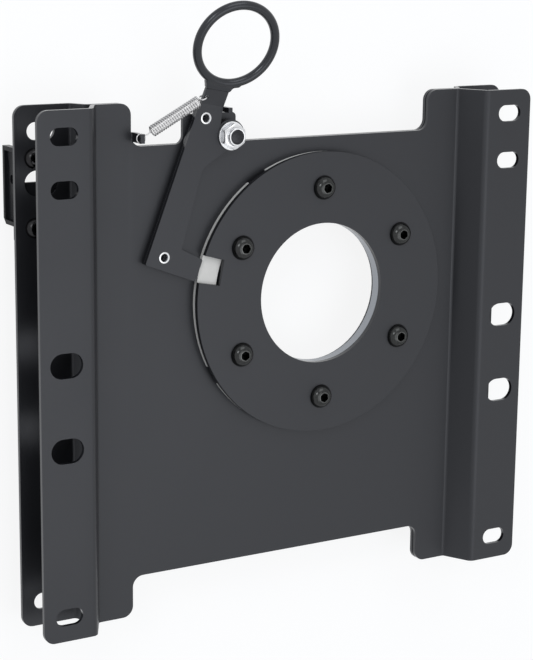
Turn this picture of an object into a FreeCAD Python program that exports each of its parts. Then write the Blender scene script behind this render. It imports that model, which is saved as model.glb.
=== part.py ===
import FreeCAD
import Part
import math
import os

# Swivel seat base: two pressed steel plates turn on each other about a wide hollow hub. A bolted
# disc holds them together, and a spring lever with a foot drops into a notch of the disc.
# Origin: centre of the four lower fixing slots, on the lower mounting face. +Z points up along
# the swivel axis to the seat, +X to the right, +Y to the side with the pull ring. Millimetres.
# The lever is drawn let go of the disc, turned clockwise out of its notch.

# Plates
sheet = 3.0
flange_width = 40.0
wall_lean = 27.6
bend_inside = 2.5
corner_round = 8.0
recess_width = 244.0
recess_depth = 29.5
upper_rise = 21.6
lower_rise = 12.0
plate_gap = 1.0

# Fixing slots, each long across the plate
fixing_pitch_x = 362.0
fixing_pitch_y = 330.0
slot_from_side = 19.0
slot_from_end = 17.5
fixing_slot_length = 20.0
fixing_slot_width = 12.0
wide_slot_length = 24.0
wide_slot_width = 17.4
second_row_step = 35.0
third_row_step = 118.0
fourth_row_step = 59.0

# Swivel
axis_x = 28.0
axis_from_end = 142.5
opening_radius = 51.25
lower_bore_extra = 1.0
hub_radius = 85.0
hub_running_gap = 0.05
disc_overlap = 17.75
disc_thickness = 4.0
slip_inner_gap = 2.0
slip_edge_inset = 0.4
slip_thickness = 3.4
slip_play = 0.1
slip_gap_angle = 9.0
slip_first_angle = 31.0
slip_count = 4

# Screws through the disc
clamp_from_hub_edge = 8.0
clamp_count = 6
clamp_diameter = 10.0
clamp_hole_play = 0.5
clamp_end_proud = 2.5
clamp_head_diameter = 17.5
clamp_head_height = 5.5
clamp_key_width = 6.0
clamp_key_depth = 3.1
clamp_washer_diameter = 20.0
clamp_washer_thickness = 2.0
clamp_nut_across_flats = 16.0
clamp_nut_height = 6.0

# Shape of every button head screw and nut, as shares of its size
screw_crown_share = 0.35
screw_end_chamfer_share = 0.1
nut_face_share = 0.95
nut_chamfer_angle = 30.0

# Ear, stop finger and spring finger of the upper plate, from the lever's pivot
ear_left = 33.8
ear_right = 7.7
ear_over_pivot = 15.5
ear_root_round = 6.0
ear_corner_round = 3.0
stop_shoulder_left = 19.3
stop_shoulder_right = 8.3
stop_shoulder_height = 4.2
stop_shoulder_round = 0.5
stop_finger_outer = 1.0
stop_finger_width = 3.5
stop_finger_reach = 11.0
spring_finger_over_pivot = 1.8
spring_finger_width = 6.4
spring_finger_reach = 13.0
spring_groove_depth = 1.4
spring_groove_width = 2.2
spring_groove_from_end = 3.2
finger_bend_inside = 1.0

# Lever pivot, placed from the disc's rim beside and above the swivel axis
pivot_inside_rim = 26.05
pivot_over_rim = 15.05
pivot_diameter = 10.0
bush_wall = 1.5
bush_play = 0.05
spacer_thickness = 0.6
lever_play = 0.1
pivot_washer_diameter = 20.0
pivot_washer_thickness = 2.0
pivot_nut_across_flats = 16.0
pivot_nut_height = 8.0
pivot_stud_proud = 0.4
pivot_stud_chamfer = 0.8

# Lever. Arm sizes are along and across its straight outer edge, from the pivot.
lever_sheet = 3.0
release_angle = 10.3
arm_lean = 10.76
arm_outer = 30.9
arm_inner_at_foot = 7.9
arm_inner_at_boss = 12.6
arm_boss_distance = 28.0
foot_distance = 103.5
foot_tip_reach = 10.6
foot_width_at_tip = 16.3
foot_width_at_root = 18.1
foot_gap = 0.9
notch_run_out = 22.5
notch_flare = 1.5
lever_corner_round = 1.5
boss_radius = 11.2
arm_top = 15.0
back_plate_set_back = 1.5
neck_width = 17.5
neck_right = -9.3
neck_bend_y = 18.7
neck_tilt = 21.2
neck_bend_inside = 3.0
neck_length = 11.7
tongue_width = 12.0
tongue_length = 5.5
spring_hole_diameter = 2.6
spring_hole_inset = 2.6
spring_hole_from_bend = 5.8
rivet_low_across = 18.9
rivet_low_distance = 94.6
rivet_high_across = 22.8
rivet_high_distance = -5.0
rivet_shank_diameter = 6.0
rivet_bore_diameter = 4.8
rivet_head_diameter = 8.2
rivet_head_height = 0.5

# Pull ring
ring_radius = 28.65
ring_section = 6.3
ring_centre_offset = 2.3
ring_from_bend = 45.9
collar_flare = 5.5
collar_wall = 0.8

# Tension spring
spring_wire = 1.1
spring_coil_diameter = 8.2
spring_turn_count = 22
spring_hook_radius = 3.1
spring_hook_length = 9.4
spring_eye_radius = 2.7
spring_eye_length = 7.5
spring_hook_angle = 305.0
spring_joint_share = 1.15

# Side bracket under the lower left flange
bracket_sheet = 3.0
bracket_from_end = 28.5
bracket_length = 62.0
bracket_leaf_width = 33.0
bracket_tray_length = 53.0
bracket_drop = 20.0
bracket_tray_depth = 5.0
bracket_tray_set_in = 1.0
bracket_chamfer = 4.0
bracket_gap_over_row = 0.5
bracket_gap_width = 9.5
bracket_gap_start = 7.0
bracket_hole_diameter = 6.0
bracket_hole_over_row = 2.0
bracket_hole_depth = 9.0
bracket_screw_from_edge = 14.0
bracket_screw_from_top = 7.0
bracket_screw_from_bottom = 8.0
bracket_screw_diameter = 8.0
bracket_screw_play = 0.4
bracket_screw_proud = 3.5
bracket_head_diameter = 14.0
bracket_head_height = 4.4
bracket_key_width = 5.0
bracket_key_depth = 2.6
bracket_nut_across_flats = 13.0
bracket_nut_height = 6.5

# Levels that follow
lower_web_bottom = lower_rise
lower_web_top = lower_web_bottom + sheet
upper_web_bottom = lower_web_top + plate_gap
upper_web_top = upper_web_bottom + sheet
upper_flange_bottom = upper_web_bottom + upper_rise
disc_bottom = upper_web_top + slip_play + slip_thickness
disc_top = disc_bottom + disc_thickness
clamp_nut_bottom = lower_web_bottom - clamp_washer_thickness - clamp_nut_height
lever_back_bottom = upper_web_top + spacer_thickness + lever_play
lever_front_bottom = lever_back_bottom + lever_sheet
lever_top = lever_front_bottom + lever_sheet
bush_top = lever_top + lever_play

# Places in plan that follow. The pivot is given from the swivel axis.
half_width = fixing_pitch_x / 2 + slot_from_side
half_depth = fixing_pitch_y / 2 + slot_from_end
half_recess = recess_width / 2
recess_y = half_depth - recess_depth
fold_x = half_width - flange_width
first_row_y = fixing_pitch_y / 2
second_row_y = first_row_y - second_row_step
third_row_y = second_row_y - third_row_step
fourth_row_y = third_row_y - fourth_row_step
axis_y = half_depth - axis_from_end
disc_radius = hub_radius + disc_overlap
slip_inner_radius = hub_radius + slip_inner_gap
slip_outer_radius = disc_radius - slip_edge_inset
clamp_circle_radius = hub_radius - clamp_from_hub_edge
clamp_hole_diameter = clamp_diameter + clamp_hole_play
pivot_x = -disc_radius + pivot_inside_rim
pivot_y = disc_radius + pivot_over_rim
bush_outer_diameter = pivot_diameter + 2 * bush_wall
ear_top = axis_y + pivot_y + ear_over_pivot
stop_finger_top = ear_top + stop_shoulder_height
spring_finger_x = -half_recess + sheet / 2 + finger_bend_inside
spring_finger_y = axis_y + pivot_y + spring_finger_over_pivot
bracket_top_y = half_depth - bracket_from_end
bracket_bottom_y = bracket_top_y - bracket_length


def point(x, y, z=0.0):
    return FreeCAD.Vector(x, y, z)


UP = point(0, 0, 1)


def from_axis(x, y, z=0.0):
    """A point given from the swivel axis."""
    return point(axis_x + x, axis_y + y, z)


def rod(radius, bottom, top, x=axis_x, y=axis_y):
    """Upright round bar."""
    return Part.makeCylinder(radius, top - bottom, point(x, y, bottom))


def tube(outer, inner, bottom, top, x=axis_x, y=axis_y):
    """Upright round tube."""
    return rod(outer, bottom, top, x, y).cut(rod(inner, bottom, top, x, y))


def hexagon(across_flats, bottom, top, x, y):
    """Upright hexagonal bar with its flats facing +X and -X."""
    corner = across_flats / math.sqrt(3)
    spots = []
    for i in range(7):
        turn = math.radians(30 + 60 * i)
        spots.append(point(x + corner * math.cos(turn), y + corner * math.sin(turn), bottom))
    return Part.Face(Part.makePolygon(spots)).extrude(UP * (top - bottom))


def rounded_prism(corners, bottom, top):
    """Upright prism on a plan outline. Each corner is x, y and its rounding radius."""
    spots = [point(x, y, bottom) for x, y, radius in corners]
    turns = []
    for i, corner in enumerate(spots):
        radius = corners[i][2]
        if radius == 0:
            turns.append([corner])
            continue
        back = (spots[i - 1] - corner).normalize()
        ahead = (spots[(i + 1) % len(spots)] - corner).normalize()
        half = back.getAngle(ahead) / 2
        reach = radius / math.tan(half)
        centre = corner + (back + ahead).normalize() * (radius / math.sin(half))
        middle = centre + (corner - centre).normalize() * radius
        turns.append([corner + back * reach, middle, corner + ahead * reach])
    edges = []
    for turn, following in zip(turns, turns[1:] + turns[:1]):
        if len(turn) > 1:
            edges.append(Part.Arc(*turn).toShape())
        if turn[-1].distanceToPoint(following[0]) > 1e-6:
            edges.append(Part.makeLine(turn[-1], following[0]))
    return Part.Face(Part.Wire(edges)).extrude(UP * (top - bottom))


def bent_sheet(path, thickness, inside, place, sweep):
    """Sheet bent along the flat path of its middle line, drawn out by the sweep vector."""
    spots = [point(a, b) for a, b in path]
    legs = [(after - before).normalize() for before, after in zip(spots, spots[1:])]
    middle = inside + thickness / 2
    runs = []
    ends = []
    for side in (1, -1):
        offsets = [UP.cross(leg) * (side * thickness / 2) for leg in legs]
        here = spots[0] + offsets[0]
        ends.append([here])
        for i in range(1, len(legs)):
            back, ahead = legs[i - 1], legs[i]
            hand = 1 if back.cross(ahead).z > 0 else -1
            reach = middle * math.tan(back.getAngle(ahead) / 2)
            centre = spots[i] - back * reach + UP.cross(back) * (hand * middle)
            radius = middle - hand * side * thickness / 2
            start = spots[i] - back * reach + offsets[i - 1]
            crest = centre + (spots[i] - centre).normalize() * radius
            stop = spots[i] + ahead * reach + offsets[i]
            runs += [[here, start], [start, crest, stop]]
            here = stop
        ends[-1].append(spots[-1] + offsets[-1])
        runs.append([here, ends[-1][1]])
    runs += [[ends[0][0], ends[1][0]], [ends[0][1], ends[1][1]]]
    edges = []
    for run in runs:
        placed = [place(spot.x, spot.y) for spot in run]
        if len(placed) == 2:
            edges.append(Part.makeLine(*placed))
        else:
            edges.append(Part.Arc(*placed).toShape())
    return Part.Face(Part.Wire(Part.__sortEdges__(edges))).extrude(sweep)


def slot(length, width, x, y, bottom, top):
    """Upright slot cutter with round ends, long along X."""
    straight = (length - width) / 2
    body = Part.makeBox(2 * straight, width, top - bottom, point(x - straight, y - width / 2, bottom))
    ends = [rod(width / 2, bottom, top, x + side * straight, y) for side in (-1, 1)]
    return body.fuse(ends)


def button_screw(head_diameter, head_height, shank, length, key_width, key_depth, x, y, seat):
    """Button head screw that points down, with a hexagon socket and a chamfered end."""
    half_head = head_diameter / 2
    crown = shank * screw_crown_share
    bulge = (half_head ** 2 - crown ** 2 - head_height ** 2) / (2 * head_height)
    sphere = math.hypot(half_head, bulge)
    slope = (math.asin(half_head / sphere) + math.asin(crown / sphere)) / 2
    top = seat + head_height
    profile = [
        Part.makeLine(point(x, y, seat), point(x + half_head, y, seat)),
        Part.Arc(point(x + half_head, y, seat),
                 point(x + sphere * math.sin(slope), y, seat - bulge + sphere * math.cos(slope)),
                 point(x + crown, y, top)).toShape(),
        Part.makeLine(point(x + crown, y, top), point(x, y, top)),
        Part.makeLine(point(x, y, top), point(x, y, seat)),
    ]
    head = Part.Face(Part.Wire(profile)).revolve(point(x, y, seat), UP, 360)
    stem = rod(shank / 2, seat - length, seat, x, y)
    tip = [e for e in stem.Edges if e.Closed and e.CenterOfMass.z < seat - length / 2]
    stem = stem.makeChamfer(shank * screw_end_chamfer_share, tip)
    return head.fuse(stem).cut(hexagon(key_width, top - key_depth, top, x, y)).removeSplitter()


def nut(across_flats, height, bore_diameter, bottom, x, y):
    """Hexagon nut with its corners turned off at both faces."""
    top = bottom + height
    corner = across_flats / math.sqrt(3)
    face = across_flats / 2 * nut_face_share
    drop = (corner - face) * math.tan(math.radians(nut_chamfer_angle))
    outline = [(0, bottom), (face, bottom), (corner, bottom + drop), (corner, top - drop), (face, top),
               (0, top), (0, bottom)]
    blank = Part.Face(Part.makePolygon([point(x + out, y, z) for out, z in outline]))
    turned = blank.revolve(point(x, y, bottom), UP, 360)
    body = hexagon(across_flats, bottom, top, x, y).common(turned)
    return body.cut(rod(bore_diameter / 2, bottom, top, x, y))


def clamp_places():
    """Places of the screws on their circle, the first straight up from the swivel axis."""
    places = []
    for i in range(clamp_count):
        turn = math.radians(90 - 360 / clamp_count * i)
        places.append((axis_x + clamp_circle_radius * math.cos(turn),
                       axis_y + clamp_circle_radius * math.sin(turn)))
    return places


def drilled(body, places, diameter, bottom, top):
    """The body with a row of upright holes through it."""
    return body.cut([rod(diameter / 2, bottom, top, x, y) for x, y in places])


# Plates
def pressed_section(flange_z, web_z, rise, outward):
    """Half of a plate's middle line, from the web's middle to the flange's edge."""
    lean = math.radians(wall_lean)
    shift = outward * sheet / 2 * (1 / math.cos(lean) - math.tan(lean))
    web_fold = fold_x - rise * math.tan(lean)
    return [(web_fold + shift, web_z), (fold_x + shift, flange_z), (half_width, flange_z)]


def pressed_plate(flange_z, web_z, rise, outward, outline, bottom, top):
    """Sheet with a hat section, as long as its plan outline and trimmed to it."""
    right = pressed_section(flange_z, web_z, rise, outward)
    left = [(-x, z) for x, z in reversed(right)]
    front = min(y for x, y, radius in outline)
    rear = max(y for x, y, radius in outline)
    body = bent_sheet(left + right, sheet, bend_inside, lambda x, z: point(x, front, z),
                      point(0, rear - front, 0))
    return body.common(rounded_prism(outline, bottom, top))


def plate_outline(ear):
    """Plan outline with a wide recess at each end, and the ear's corners where it has one."""
    r = corner_round
    return ([(-half_width, -half_depth, r), (-half_recess, -half_depth, r), (-half_recess, -recess_y, r),
             (half_recess, -recess_y, r), (half_recess, -half_depth, r), (half_width, -half_depth, r),
             (half_width, half_depth, r), (half_recess, half_depth, r), (half_recess, recess_y, r)]
            + ear
            + [(-half_recess, recess_y, r), (-half_recess, half_depth, r), (-half_width, half_depth, r)])


def ear_corners():
    """Corners of the ear that carries the lever, with the shoulder under its stop finger."""
    pivot = axis_x + pivot_x
    left = pivot - ear_left
    right = pivot + ear_right
    shoulder_left = pivot - stop_shoulder_left
    shoulder_right = pivot - stop_shoulder_right
    return [(right, recess_y, ear_root_round), (right, ear_top, ear_corner_round),
            (shoulder_right, ear_top, stop_shoulder_round),
            (shoulder_right, stop_finger_top, stop_shoulder_round),
            (shoulder_left, stop_finger_top, ear_corner_round),
            (shoulder_left - ear_corner_round, ear_top, stop_shoulder_round),
            (left, ear_top, ear_corner_round), (left, recess_y, ear_root_round)]


def flange_slots(rows, bottom, top):
    """Slot cutters in both flanges. Each row is y, length and width."""
    return [slot(length, width, side * fixing_pitch_x / 2, y, bottom, top)
            for y, length, width in rows for side in (-1, 1)]


def stop_finger():
    """Narrow finger on the ear's shoulder, bent up in the way of the lever's neck."""
    middle_z = upper_web_top - sheet / 2
    middle_x = axis_x + pivot_x - stop_finger_outer - sheet / 2
    path = [(axis_x + pivot_x - stop_shoulder_right - sheet, middle_z), (middle_x, middle_z),
            (middle_x, upper_web_top + stop_finger_reach)]
    return bent_sheet(path, sheet, finger_bend_inside,
                      lambda x, z: point(x, stop_finger_top - stop_finger_width, z),
                      point(0, stop_finger_width, 0))


def spring_finger():
    """Finger bent up at the recess's left side, grooved near its end for the spring's hook."""
    middle_z = upper_web_top - sheet / 2
    end = upper_web_top + spring_finger_reach
    low = spring_finger_y - spring_finger_width / 2
    path = [(-half_recess - corner_round, middle_z), (spring_finger_x, middle_z), (spring_finger_x, end)]
    body = bent_sheet(path, sheet, finger_bend_inside, lambda x, z: point(x, low, z),
                      point(0, spring_finger_width, 0))
    for edge in (low, low + spring_finger_width):
        corner = point(spring_finger_x - sheet, edge - spring_groove_depth,
                       hook_place.z - spring_groove_width / 2)
        body = body.cut(Part.makeBox(2 * sheet, 2 * spring_groove_depth, spring_groove_width, corner))
    return body


hook_place = point(spring_finger_x, spring_finger_y,
                   upper_web_top + spring_finger_reach - spring_groove_from_end)


def upper_plate():
    top = upper_flange_bottom + sheet
    body = pressed_plate(upper_flange_bottom + sheet / 2, upper_web_bottom + sheet / 2, upper_rise, 1,
                         plate_outline(ear_corners()), upper_web_bottom, top)
    body = body.cut([rod(hub_radius + hub_running_gap, upper_web_bottom, upper_web_top),
                     rod(pivot_diameter / 2, upper_web_bottom, upper_web_top, axis_x + pivot_x,
                         axis_y + pivot_y)])
    body = body.fuse([stop_finger(), spring_finger()]).removeSplitter()
    rows = [(first_row_y, fixing_slot_length, fixing_slot_width),
            (second_row_y, fixing_slot_length, fixing_slot_width),
            (third_row_y, wide_slot_length, wide_slot_width),
            (fourth_row_y, wide_slot_length, wide_slot_width),
            (-first_row_y, fixing_slot_length, fixing_slot_width)]
    return body.cut(flange_slots(rows, upper_flange_bottom, top))


def bracket_screw_places():
    """The bracket's two screws, in a line along the flange's outer edge."""
    return [(-half_width + bracket_screw_from_edge, y)
            for y in (bracket_top_y - bracket_screw_from_top, bracket_bottom_y + bracket_screw_from_bottom)]


def lower_plate():
    body = pressed_plate(sheet / 2, lower_web_bottom + sheet / 2, lower_rise, -1, plate_outline([]),
                         0, lower_web_top)
    rows = [(first_row_y, fixing_slot_length, fixing_slot_width),
            (second_row_y, wide_slot_length, wide_slot_width),
            (-first_row_y, fixing_slot_length, fixing_slot_width)]
    holes = flange_slots(rows, 0, sheet)
    holes.append(rod(opening_radius + lower_bore_extra, lower_web_bottom, lower_web_top))
    body = drilled(body.cut(holes), clamp_places(), clamp_hole_diameter, lower_web_bottom, lower_web_top)
    return drilled(body, bracket_screw_places(), bracket_screw_diameter + bracket_screw_play, 0, sheet)


# Hub, disc and slip pieces
def hub_ring():
    body = tube(hub_radius, opening_radius, lower_web_top, disc_bottom)
    return drilled(body, clamp_places(), clamp_hole_diameter, lower_web_top, disc_bottom)


def on_arm(across, along):
    """A point of the engaged lever: across its straight outer edge and along it, from the pivot."""
    lean = math.radians(arm_lean)
    return (pivot_x + across * math.cos(lean) + along * math.sin(lean),
            pivot_y - across * math.sin(lean) + along * math.cos(lean))


def lock_notch():
    """Cutter of the notch: the foot's outline plus its gap, run out past the disc's rim."""
    root = foot_distance - foot_width_at_root
    tip = foot_distance - foot_width_at_tip
    past_rim = -arm_inner_at_foot - notch_run_out
    corners = [on_arm(foot_tip_reach + foot_gap, -foot_distance - foot_gap),
               on_arm(foot_tip_reach + foot_gap, -tip + foot_gap),
               on_arm(-arm_inner_at_foot, -root + foot_gap),
               on_arm(past_rim, -root + foot_gap + notch_flare),
               on_arm(past_rim, -foot_distance - foot_gap)]
    outline = [(axis_x + x, axis_y + y, 0) for x, y in corners]
    return rounded_prism(outline, disc_bottom, disc_top)


def retaining_disc():
    body = tube(disc_radius, opening_radius, disc_bottom, disc_top)
    body = drilled(body, clamp_places(), clamp_hole_diameter, disc_bottom, disc_top)
    return body.cut(lock_notch())


def slip_segments():
    """Arcs of slip strip under the disc, with a gap between each two."""
    step = 360 / slip_count
    parts = []
    for i in range(slip_count):
        start = slip_first_angle + i * step + slip_gap_angle / 2
        length = step - slip_gap_angle
        outer = Part.makeCylinder(slip_outer_radius, slip_thickness,
                                  from_axis(0, 0, disc_bottom - slip_thickness), UP, length)
        inner = Part.makeCylinder(slip_inner_radius, slip_thickness,
                                  from_axis(0, 0, disc_bottom - slip_thickness), UP, length)
        parts.append(outer.cut(inner).rotate(from_axis(0, 0), UP, start))
    return Part.makeCompound(parts)


def lower_slip_ring():
    return tube(slip_outer_radius, slip_inner_radius, lower_web_top, upper_web_bottom - slip_play)


def clamp_screws():
    length = disc_top - clamp_nut_bottom + clamp_end_proud
    return Part.makeCompound([
        button_screw(clamp_head_diameter, clamp_head_height, clamp_diameter, length, clamp_key_width,
                     clamp_key_depth, x, y, disc_top) for x, y in clamp_places()])


def clamp_washers():
    bottom = lower_web_bottom - clamp_washer_thickness
    return Part.makeCompound([
        tube(clamp_washer_diameter / 2, clamp_hole_diameter / 2, bottom, lower_web_bottom, x, y)
        for x, y in clamp_places()])


def clamp_nuts():
    return Part.makeCompound([
        nut(clamp_nut_across_flats, clamp_nut_height, clamp_diameter, clamp_nut_bottom, x, y)
        for x, y in clamp_places()])


# Lever, drawn engaged from the swivel axis and turned out of the notch about its pivot
def let_go(body):
    """Move a lever piece from its engaged place to its place at rest."""
    moved = body.copy()
    moved.translate(from_axis(0, 0))
    moved.rotate(from_axis(pivot_x, pivot_y), UP, -release_angle)
    return moved


def arm_corners(inner_set_back):
    """The arm's edge beside the boss and at the foot's level, on its inner side."""
    beside_boss = on_arm(-arm_inner_at_boss - inner_set_back, -arm_boss_distance)
    length = foot_distance - foot_width_at_root - arm_boss_distance
    widening = (arm_inner_at_boss - arm_inner_at_foot) / length
    at_end = on_arm(-arm_inner_at_foot + widening * foot_width_at_root - inner_set_back, -foot_distance)
    return beside_boss, at_end


def outer_edge_at(height):
    """Where the arm's straight outer edge crosses a height above the pivot."""
    lean = math.radians(arm_lean)
    along = (height - arm_outer * math.sin(lean)) / math.cos(lean)
    return on_arm(-arm_outer, along)


def lever_outline(foot, inner_set_back):
    """Plan outline of a lever plate below its neck, with or without the foot."""
    r = lever_corner_round
    beside_boss, at_end = arm_corners(inner_set_back)
    neck = pivot_x + neck_right
    top = pivot_y + arm_top
    outline = [(*on_arm(-arm_outer, -foot_distance), r)]
    if foot:
        outline.append((*on_arm(foot_tip_reach, -foot_distance), r))
        outline.append((*on_arm(foot_tip_reach, -foot_distance + foot_width_at_tip), r))
        outline.append((*on_arm(-arm_inner_at_foot, -foot_distance + foot_width_at_root), r / 2))
    else:
        outline.append((*at_end, r))
    outline.append((*beside_boss, boss_radius))
    outline.append((pivot_x, pivot_y - boss_radius + r, 0))
    outline.append((pivot_x, pivot_y + r, 0))
    outline.append((neck, pivot_y + r, 0))
    outline.append((neck, top, 0))
    outline.append((*outer_edge_at(top - pivot_y), r))
    return outline


def lever_blank(foot, inner_set_back, bottom, top):
    """Lever plate before its holes."""
    body = rounded_prism(lever_outline(foot, inner_set_back), bottom, top)
    return body.fuse(rod(boss_radius, bottom, top, pivot_x, pivot_y))


def lever_holes(bottom, top):
    """Cutters of the bush's hole and of the rivets' holes."""
    holes = [rod(bush_outer_diameter / 2 + bush_play, bottom, top, pivot_x, pivot_y)]
    return holes + [rod(rivet_shank_diameter / 2, bottom, top, x, y) for x, y in rivet_places()]


def rivet_places():
    return [on_arm(-rivet_low_across, -rivet_low_distance), on_arm(-rivet_high_across, -rivet_high_distance)]


def tilted(across, along, off=0.0):
    """A point of the bent neck: across it, along it from the bend, and off its middle face."""
    tilt = math.radians(neck_tilt)
    return point(pivot_x + across, pivot_y + neck_bend_y + along * math.cos(tilt) - off * math.sin(tilt),
                 lever_top - lever_sheet / 2 + along * math.sin(tilt) + off * math.cos(tilt))


def neck_strip(width, length):
    """Bent strip from the lever's flat part past the bend."""
    left = pivot_x + neck_right - (neck_width + width) / 2
    middle_z = lever_top - lever_sheet / 2
    start = pivot_y + arm_top - lever_corner_round - neck_bend_inside
    end = tilted(0, length)
    path = [(start, middle_z), (pivot_y + neck_bend_y, middle_z), (end.y, end.z)]
    return bent_sheet(path, lever_sheet, neck_bend_inside, lambda y, z: point(left, y, z), point(width, 0, 0))


spring_hole = tilted(neck_right - neck_width + spring_hole_inset, spring_hole_from_bend)
neck_normal = tilted(0, 0, 1) - tilted(0, 0)


def lever_front_plate():
    body = lever_blank(True, 0, lever_front_bottom, lever_top)
    strips = [neck_strip(neck_width, neck_length), neck_strip(tongue_width, neck_length + tongue_length)]
    eye = Part.makeCylinder(spring_hole_diameter / 2, 2 * lever_sheet,
                            spring_hole - neck_normal * lever_sheet, neck_normal)
    holes = lever_holes(lever_front_bottom, lever_top) + [eye]
    return let_go(body.fuse(strips).removeSplitter().cut(holes))


def lever_back_plate():
    body = lever_blank(False, back_plate_set_back, lever_back_bottom, lever_front_bottom).removeSplitter()
    return let_go(body.cut(lever_holes(lever_back_bottom, lever_front_bottom)))


def lever_rivets():
    """Tubular rivets with a flat rim at both ends."""
    low = lever_back_bottom - rivet_head_height
    high = lever_top + rivet_head_height
    parts = []
    for x, y in rivet_places():
        shank = rod(rivet_shank_diameter / 2, low, high, x, y)
        rims = [rod(rivet_head_diameter / 2, low, lever_back_bottom, x, y),
                rod(rivet_head_diameter / 2, lever_top, high, x, y)]
        parts.append(let_go(shank.fuse(rims).cut(rod(rivet_bore_diameter / 2, low, high, x, y))))
    return Part.makeCompound(parts)


def ring_grip():
    """Round pull ring whose flared collar holds the neck's tongue."""
    centre_across = neck_right - neck_width / 2 + ring_centre_offset
    centre = tilted(centre_across, ring_from_bend)
    ring = Part.makeTorus(ring_radius, ring_section / 2, centre, neck_normal)
    left = neck_right - neck_width
    low = neck_length
    step = low + ring_section / 2
    high = ring_from_bend - ring_radius + ring_section
    flare = neck_width / 2 + collar_flare
    outline = [(left, low), (neck_right, low), (neck_right, step), (centre_across + flare, high),
               (centre_across - flare, high), (left, step), (left, low)]
    thickness = lever_sheet + 2 * collar_wall
    face = Part.Face(Part.makePolygon([tilted(a, s, -thickness / 2) for a, s in outline]))
    inside = Part.makeCylinder(ring_radius, 2 * ring_section, centre - neck_normal * ring_section,
                               neck_normal)
    collar = face.extrude(neck_normal * thickness).cut(inside)
    body = ring.fuse(collar).removeSplitter()
    return let_go(body.cut(neck_strip(tongue_width, neck_length + tongue_length)))


def pivot_tube(outer_diameter, bottom, height):
    """Round tube on the lever's stud."""
    return tube(outer_diameter / 2, pivot_diameter / 2, bottom, bottom + height, axis_x + pivot_x,
                axis_y + pivot_y)


def pivot_spacer():
    return pivot_tube(pivot_washer_diameter, upper_web_top, spacer_thickness)


def pivot_bush():
    bottom = upper_web_top + spacer_thickness
    return pivot_tube(bush_outer_diameter, bottom, bush_top - bottom)


def pivot_washer():
    return pivot_tube(pivot_washer_diameter, bush_top, pivot_washer_thickness)


def pivot_nut():
    return nut(pivot_nut_across_flats, pivot_nut_height, pivot_diameter, bush_top + pivot_washer_thickness,
               axis_x + pivot_x, axis_y + pivot_y)


def pivot_stud():
    top = bush_top + pivot_washer_thickness + pivot_nut_height + pivot_stud_proud
    body = rod(pivot_diameter / 2, upper_web_bottom, top, axis_x + pivot_x, axis_y + pivot_y)
    rim = [e for e in body.Edges if e.Closed and e.CenterOfMass.z > upper_web_top]
    return body.makeChamfer(pivot_stud_chamfer, rim)


# Spring, from the finger's groove to the hole in the neck
def wire_arc(centre, radius, start, through, sweep):
    """Round wire bent to an arc: from its start, turning towards a point, by sweep degrees."""
    first = (start - centre).normalize()
    normal = first.cross(through - centre).normalize()
    arc = Part.makeTorus(radius, spring_wire / 2, point(0, 0), UP, -180, 180, sweep)
    arc.Placement = FreeCAD.Placement(centre, FreeCAD.Rotation(first, normal.cross(first), normal, "ZXY"))
    return arc


def wire_links(spots):
    """Straight lengths of wire from spot to spot, with round joints."""
    joint = spring_wire / 2 * spring_joint_share
    parts = [Part.makeSphere(joint, spot) for spot in spots]
    for start, end in zip(spots, spots[1:]):
        parts.append(Part.makeCylinder(spring_wire / 2, start.distanceToPoint(end), start, end - start))
    return parts


def tension_spring():
    """Coil with a hook round the finger and an eye through the neck's hole."""
    pivot = from_axis(pivot_x, pivot_y)
    turn = FreeCAD.Rotation(UP, -release_angle)
    hole = turn.multVec(spring_hole + from_axis(0, 0) - pivot) + pivot
    normal = turn.multVec(neck_normal)
    line = (hole - hook_place).normalize()
    side = UP.cross(line).normalize()
    coil_start = hook_place + line * spring_hook_length
    coil_length = hole.distanceToPoint(hook_place) - spring_hook_length - spring_eye_length
    coil_radius = (spring_coil_diameter - spring_wire) / 2
    frame = FreeCAD.Placement(coil_start, FreeCAD.Rotation(side, line.cross(side), line, "ZXY"))
    pitch = math.atan2(coil_length / spring_turn_count, 2 * math.pi * coil_radius)
    start = frame.multVec(point(coil_radius, 0, 0))
    end = frame.multVec(point(coil_radius, 0, coil_length))
    coil = Part.makeHelix(coil_length / spring_turn_count, coil_length, coil_radius)
    coil.Placement = frame
    heading = frame.Rotation.multVec(point(0, math.cos(pitch), math.sin(pitch)))
    section = Part.Wire([Part.Circle(start, heading, spring_wire / 2).toShape()])
    body = Part.Wire(coil.Edges).makePipeShell([section], True, True)
    ahead = (line - UP * line.dot(UP)).normalize()
    across = UP.cross(ahead)
    hook_end = hook_place + ahead * spring_hook_radius
    parts = [wire_arc(hook_place, spring_hook_radius, hook_end, hook_place - across, spring_hook_angle)]
    parts += wire_links([hook_end, coil_start - line * spring_wire, start])
    inward = (line - normal * line.dot(normal)).normalize()
    centre = hole - inward * spring_eye_radius
    eye_end = centre - inward * spring_eye_radius
    parts.append(wire_arc(centre, spring_eye_radius, eye_end, centre + normal, spring_hook_angle))
    coil_end = coil_start + line * coil_length
    parts += wire_links([eye_end, coil_end + line * spring_wire, end])
    return parts[0].fuse(parts[1:]).fuse(body)


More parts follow.
